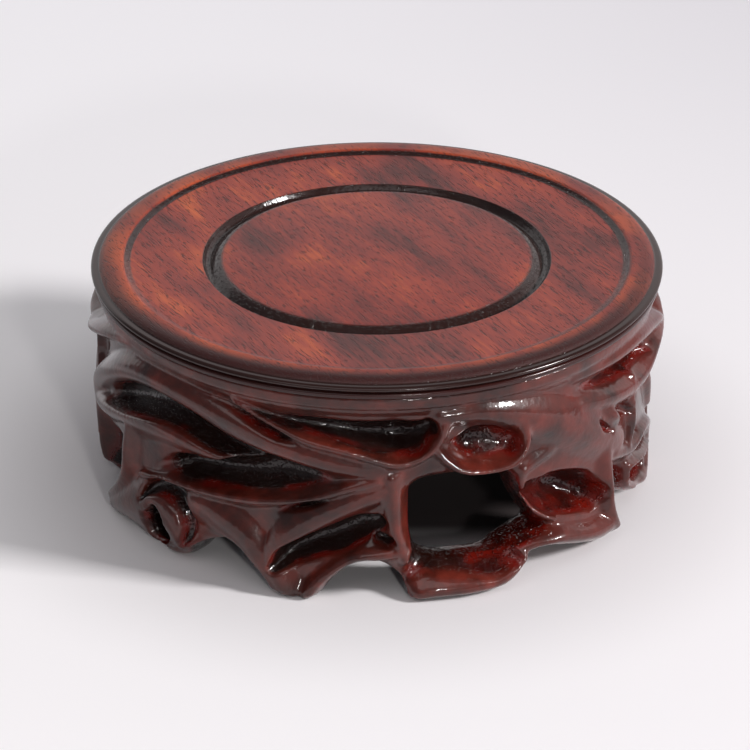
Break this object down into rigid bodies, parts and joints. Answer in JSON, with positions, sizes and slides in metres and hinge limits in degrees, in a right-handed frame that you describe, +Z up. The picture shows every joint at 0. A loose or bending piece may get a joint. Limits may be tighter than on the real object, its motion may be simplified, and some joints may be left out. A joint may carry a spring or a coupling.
{
  "type": "round display stand",
  "caption": "Low round display stand of lacquered hardwood: a turned top with a seat groove and rim on an open ring carved like knotted roots.",
  "frame": {"origin": "middle of the footprint, on the surface that the feet stand on", "axes": "+Z up through the middle of the top board; -Y is the front, the side that the picture shows; +X is to the right"},
  "size_m": [0.1217, 0.12, 0.051],
  "materials": {
    "top_wood": "satin lacquered reddish hardwood with fine open pores",
    "carved_wood": "dark red-brown gloss lacquer over carved hardwood",
    "joint_wood": "bare hardwood, hidden in the joints"
  },
  "bodies": {
    "root": {"top_board": "top_wood", "root_ring_front": "carved_wood", "root_ring_right": "carved_wood", "root_ring_back": "carved_wood", "root_ring_left": "carved_wood", "joint_tongue_1": "joint_wood", "joint_tongue_2": "joint_wood", "joint_tongue_3": "joint_wood", "joint_tongue_4": "joint_wood", "top_peg_1": "joint_wood", "top_peg_2": "joint_wood", "top_peg_3": "joint_wood", "top_peg_4": "joint_wood", "top_peg_5": "joint_wood", "top_peg_6": "joint_wood", "top_peg_7": "joint_wood", "top_peg_8": "joint_wood"}
  },
  "joints": []
}
